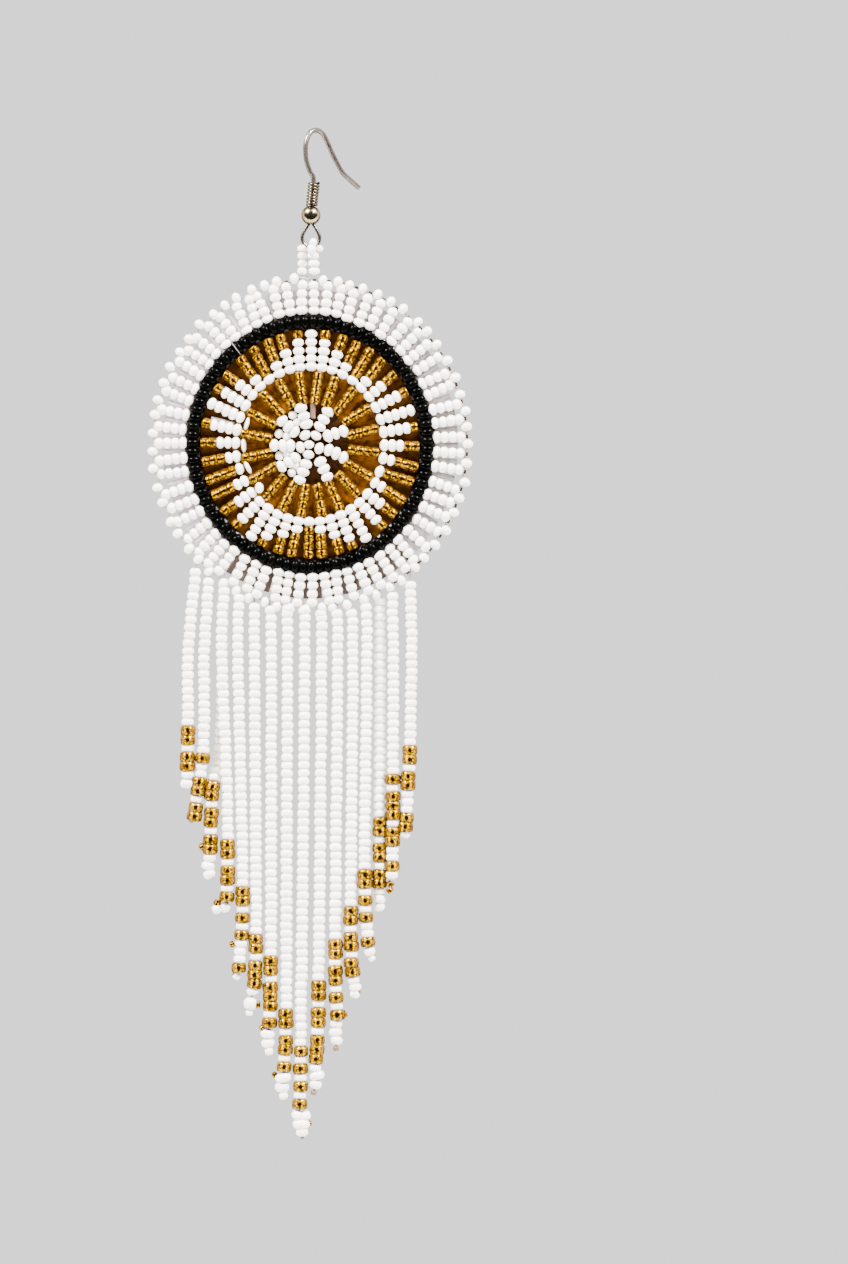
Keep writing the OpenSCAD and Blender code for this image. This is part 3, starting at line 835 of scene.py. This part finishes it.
def fringe_beads(chance):
    """The white beads, the gold ones, the knots, and the line that each strand's thread takes."""
    strung = {"w": Beads(), "g": Beads(), "k": Beads()}
    lines = []
    slimmest, widening, overlap = 0.88, 0.1, 1.1   # the white beads get wider down the strand
    for number, (pattern, bends, back_top, back_tip) in enumerate(STRANDS, 1):
        backs = [back_top, back_top, back_tip, back_tip]
        line = soft_line([Vector((x, DROP_Y + back, z)) for (x, z), back in zip(bends, backs)])
        total = sum((b - a).length for a, b in zip(line, line[1:]))
        order = "".join(token[-1] * int(token[:-1]) for token in pattern.split())
        stretch = total / sum(BEAD_SIZES[kind][1] for kind in order)
        reach = 0
        for kind in order:
            width, length = BEAD_SIZES[kind]
            if kind == "w":
                width *= slimmest + widening * reach / total
            spot, run = along_line(line, reach + length * stretch / 2)
            spot += Vector((chance.uniform(-0.07, 0.07), chance.uniform(-0.08, 0.08), 0))
            strung[kind].put(spot, run, width, length * stretch * overlap)
            reach += length * stretch
        # The thread starts among the rim's beads and ends at the last turn-back bead or knot
        run_up = [line[0] + Vector((0, 0, rise)) for rise in (2.4, 1.2)]
        for kind, x, z, width, length, lean in TIPS[number]:
            a = math.radians(lean)
            spot = Vector((x, DROP_Y + back_tip + chance.uniform(-0.2, 0.2), z))
            strung[kind].put(spot, (-math.sin(a), 0, -math.cos(a)), width, length)
            if kind != "g":
                line.append(spot)
        lines.append(run_up + line)
    return strung["w"], strung["g"], strung["k"], lines


# Threads

# Where pale, brown and grey thread lies in the gaps of the outer band as painted shade, from
# angle to angle
PALE_GAPS, BROWN_GAPS, GREY_GAPS = (112, 235), (235, 312), (312, 472)
# A flat bit of thread that shows between two arms of the rosette
ROSETTE_STRIP = [[(-0.42, DROP_Y + 0.3, -45.1), (-0.42, DROP_Y + 0.4, -47.6)]]


def ring_stitches():
    """Dark thread that ties the columns to the black ring, and its knots along the rim."""
    lines = []
    for i in range(OUTER_COLUMNS):
        angle, gap = outer_column(i), outer_column(i + 0.5)
        if angle < 100 or angle > 300:
            lines.append([on_disc(26.75, angle + turn, -0.2) for turn in (-0.7, 0, 0.7)])
        if not PALE_GAPS[0] < gap < PALE_GAPS[1]:
            lines.append([on_disc(20.9, gap, 0.4), on_disc(22.3, gap, 0.35)])
    return lines


def gap_threads(first, last):
    """Slack thread laid between the columns of the outer band, its colour painted shade for their
    gaps.
    """
    gaps = [outer_column(i + 0.5) for i in range(OUTER_COLUMNS)]
    return [[on_disc(20.9, gap, 0.6), on_disc(23, gap, 0.5), on_disc(25.2, gap, 0.55)]
            for gap in gaps if (gap - first) % 360 < last - first]


def clear_threads(strands):
    """Clear thread: round through the rim's beads, across the bail and down the strands."""
    rim = []
    for i in range(OUTER_COLUMNS):
        rim += [on_disc(26.2, outer_column(i)), on_disc(27.15, outer_column(i + 0.5))]
    bail = [[(-1.45, DROP_Y - 0.3, z), (-1.1, DROP_Y - 0.3, z)] for z in (-21.2, -22.5)]
    return [rim + rim[:1]] + bail + strands


def repair_thread():
    """One fine turn of thread over the black ring."""
    return [[on_disc(radius, 129, back) for radius, back in
             ((18.6, 0.4), (19.1, -0.9), (20, -1.56), (20.9, -0.9), (21.3, 0.4))]]


def edging_threads():
    """Dark thread laid round behind the black ring, on both sides of it; it also widens the ring's
    black as painted shade.
    """
    return [[on_disc(radius, 5 * k, back) for k in range(73)]
            for radius, back in ((19.4, 0.7), (20.85, 0.5))]


def pale_threads():
    """Pale bunched thread: under the bail, behind the star's upper left, and in the left gaps as
    painted shade.
    """
    under_bail = [(-2.5, DROP_Y + 0.2, -24.2), (-0.95, DROP_Y + 0.2, -24.2)]
    behind_star = [[on_disc(13.4, angle, 0.55), on_disc(17.4, angle, 0.55)]
                   for angle in (140, 148, 157, 166)]
    return [under_bail] + behind_star + gap_threads(*PALE_GAPS)


# Making the pieces

WHITE, BLACK, AMBER = white_bead_glass(), black_bead_glass(), amber_bead_glass()
SUEDE = backing_suede()
THREAD = nylon_thread("clear_nylon_thread", "#9A9084", "#5E5449")
DARK_THREAD = nylon_thread("dark_waxed_nylon_thread", "#2A1A10", "#0E0805")
# Grey, brown and pale thread also lie in the outer band's gaps as painted shade
GREY_THREAD = nylon_thread("grey_nylon_thread", "#8E8683", "#5C5453")
BROWN_SHADE_THREAD = nylon_thread("brown_nylon_shade_thread", "#4A3A31", "#241A14")
BEIGE_THREAD = nylon_thread("beige_nylon_thread", "#6E5347", "#543C32")
PALE_THREAD = nylon_thread("pale_nylon_thread", "#B9B0B2", "#958A8C")
KNOT = nylon_thread("melted_nylon_knot", "#8A6B4C", "#4C3520")
# The nickel-plated hook is a warm grey, and the loop takes a paler copy of its finish as
# painted light. The brass ball and coil are yellower, and the coil takes a darker copy of
# the ball's brass as painted shade
WIRE = drawn_wire_metal("nickel_plated_wire", "#7E746A", "#544C45", 0.18, 0.3, 0.8)
BRASS = drawn_wire_metal("pale_plated_brass", "#A09376", "#877A60", 0.12, 0.2, 1.0)
LOOP = drawn_wire_metal("paler_lit_plated_wire", "#958A80", "#6A6058", 0.2, 0.3, 1.0)
SHADED_BRASS = drawn_wire_metal("shaded_plated_brass", "#7E725B", "#5E543F", 0.12, 0.2, 1.0)

BEADING, WIRE_DRAWING = beading_tree(), wire_tree()
round_bead = bead_blank("round_hole_bead", 0.14, False, 0.32, 0.4)
flat_bead = bead_blank("flat_ended_bead", 0.14, False, 0.365, 0.425)
gold_bead = bead_blank("square_hole_bead", 0.17, True, 0.46, 0.43)

chance = random.Random(16)
star_white, star_gold = star_beads(chance)
fringe_white, fringe_gold, knots, strand_lines = fringe_beads(chance)
FRINGE_NODES = [f"fringe_strand_{n:02d}" for n in range(1, len(STRANDS) + 1)]

pieces = [
    (outer_band_beads(chance).made("outer_band_white_beads", round_bead, WHITE, 3, 0.05, 0.14),
     "white_beads", ["outer_band"]),
    (black_ring_beads(chance).made("ring_of_black_beads", round_bead, BLACK, 4),
     "black_beads", ["black_ring"]),
    (star_white.made("star_white_beads", round_bead, WHITE, 5, 0.04, 0.12),
     "star_beads", ["star_band"]),
    (star_gold.made("star_gold_beads", gold_bead, AMBER, 6, 0.05, 0.2),
     "gold_beads", ["star_band"]),
    (gold_spoke_beads(chance).made("gold_spoke_beads", gold_bead, AMBER, 7, 0.05, 0.2),
     "gold_beads", ["gold_spokes"]),
    (rosette_beads(chance).made("rosette_white_beads", round_bead, WHITE, 8),
     "white_beads", ["rosette"]),
    (bail_beads().made("bail_white_beads", round_bead, WHITE, 9),
     "white_beads", ["bail"]),
    (fringe_white.made("fringe_white_beads", flat_bead, WHITE, 10),
     "white_beads", FRINGE_NODES),
    (fringe_gold.made("fringe_gold_beads", gold_bead, AMBER, 11),
     "gold_beads", FRINGE_NODES),
    (leather_backing(), "leather", ["backing"]),
]
for piece, slot, nodes in pieces:
    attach(piece, "drop")
    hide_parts(*nodes)
for piece in (
        wires("ring_stitches", ring_stitches(), 0.5, DARK_THREAD, 6, 0.6),
        wires("edging_threads", edging_threads(), 1.35, DARK_THREAD, 8, 1.0),
        wires("repair_thread", repair_thread(), 0.12, GREY_THREAD, 6, 0.3),
        # The gap threads are painted shade in the outer band's gaps
        wires("gap_threads", gap_threads(*GREY_GAPS), 0.95, GREY_THREAD, 8, 1.0),
        wires("rosette_strip", ROSETTE_STRIP, 0.95, BEIGE_THREAD, 8, 1.0),
        wires("lower_gap_threads", gap_threads(*BROWN_GAPS), 1.0, BROWN_SHADE_THREAD, 8, 1.0),
        wires("clear_threads", clear_threads(strand_lines), 0.26, THREAD, 6, 0.6),
        wires("pale_threads", pale_threads(), 0.8, PALE_THREAD, 8, 0.8),
        knots.made("strand_end_knots", round_bead, KNOT, 12)):
    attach(piece, "drop")

hook_line, loop_line = ear_wire_lines()
for piece, slot, node in (
        (wires("bent_ear_wire", [hook_line], 0.84, WIRE, 20, 0.25), "wire", "ear_wire"),
        (wires("ear_wire_loop", [loop_line], 0.62, LOOP, 20, 0.25), "wire", "ear_wire"),
        (wires("wound_coil", coil_line(), 0.42, SHADED_BRASS, 12, 0.2), "coil_wire", "wire_coil"),
        (drilled_ball(BRASS), "ball", "wire_ball")):
    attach(piece, "hook")
    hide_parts(node)

for blank in (round_bead, flat_bead, gold_bead):
    bpy.data.objects.remove(blank)


# The studio, in metres

def sheet(name, centre, wide, deep, surface):
    """A level stage sheet that faces up."""
    x, y, z = centre
    mesh = bpy.data.meshes.new(name)
    mesh.from_pydata([(x + wide / 2 * a, y + deep / 2 * b, z)
                      for a, b in ((-1, -1), (1, -1), (1, 1), (-1, 1))], [], [(0, 1, 2, 3)])
    mesh.materials.append(surface)
    made = linked(name, mesh)
    return made


def lamp(name, spot, towards, wide, high, power):
    """A flat white panel of light turned towards a point."""
    data = bpy.data.lights.new(name, "AREA")
    data.shape, data.size, data.size_y, data.energy = "RECTANGLE", wide, high, power
    made = linked(name, data)
    made.location = spot
    made.rotation_mode = "QUATERNION"
    made.rotation_quaternion = (Vector(towards) - Vector(spot)).to_track_quat("-Z", "Y")


PAPER = backdrop_paper()
floor = sheet("pale_floor", (0, -0.8, -0.3), 5, 3.6, PAPER)
floor.visible_glossy = False   # or the beads would mirror it
sheet("white_card_below", (0, 0, -0.299), 2.4, 0.3, PAPER)
middle = (0, 0, -0.07)
# On each side: a softbox high in front with a small bright lamp before it, whose mirror image
# is the glint on the black beads, a weak panel beside, and a little light from behind
for side in (-1, 1):
    lamp(f"softbox_above_{side}", (side * 0.78, -0.51, 0.92), middle, 1.25, 1.1, 30)
    lamp(f"glint_lamp_{side}", (side * 0.72, -0.49, 0.85), middle, 0.27, 0.27, 94)
    lamp(f"softbox_beside_{side}", (side * 1.3, 0.35, 0), middle, 0.9, 1.5, 9)
    lamp(f"softbox_back_{side}", (side * 0.9, 1.0, 0.3), middle, 0.7, 0.9, 6)

# The earring meets a dim room in front and below and the lit backdrop behind; the camera sees
# the backdrop's light all round
BACKDROP_LIGHT = 1.5
world = bpy.data.worlds.new("pale_studio")
bpy.context.scene.world = world
world.use_nodes = True
room = world.node_tree
generated = add(room, "ShaderNodeTexCoord").outputs["Generated"]
way = add(room, "ShaderNodeSeparateXYZ", {"Vector": generated}).outputs
around = add(room, "ShaderNodeMapRange",
             {"Value": way["Y"], "From Min": -0.2, "From Max": 0.95,
              "To Min": 0.12, "To Max": BACKDROP_LIGHT})
below = add(room, "ShaderNodeMapRange",
            {"Value": way["Z"], "From Min": -0.7, "From Max": -0.1, "To Min": 0.2})
dim = add(room, "ShaderNodeMath", {0: around, 1: below}, operation="MULTIPLY")
seen = add(room, "ShaderNodeLightPath").outputs["Is Camera Ray"]
lit = add(room, "ShaderNodeMix", {"Factor": seen, "A": dim, "B": BACKDROP_LIGHT})
background = room.nodes["Background"].inputs
background["Color"].default_value = linear("#FFFFFF")
room.links.new(lit.outputs[0], background["Strength"])

# A long lens straight in front, a metre away: the frame is 0.2107 m high at the beadwork
camera = bpy.data.cameras.new("camera")
camera.sensor_width, camera.lens = 36, 36 / 0.2107
camera.clip_start, camera.clip_end = 0.05, 20
eye = linked("camera", camera)
eye.location = (0.0181, -1.0, -0.0832)
eye.rotation_euler = (math.pi / 2, 0, 0)
bpy.context.scene.camera = eye
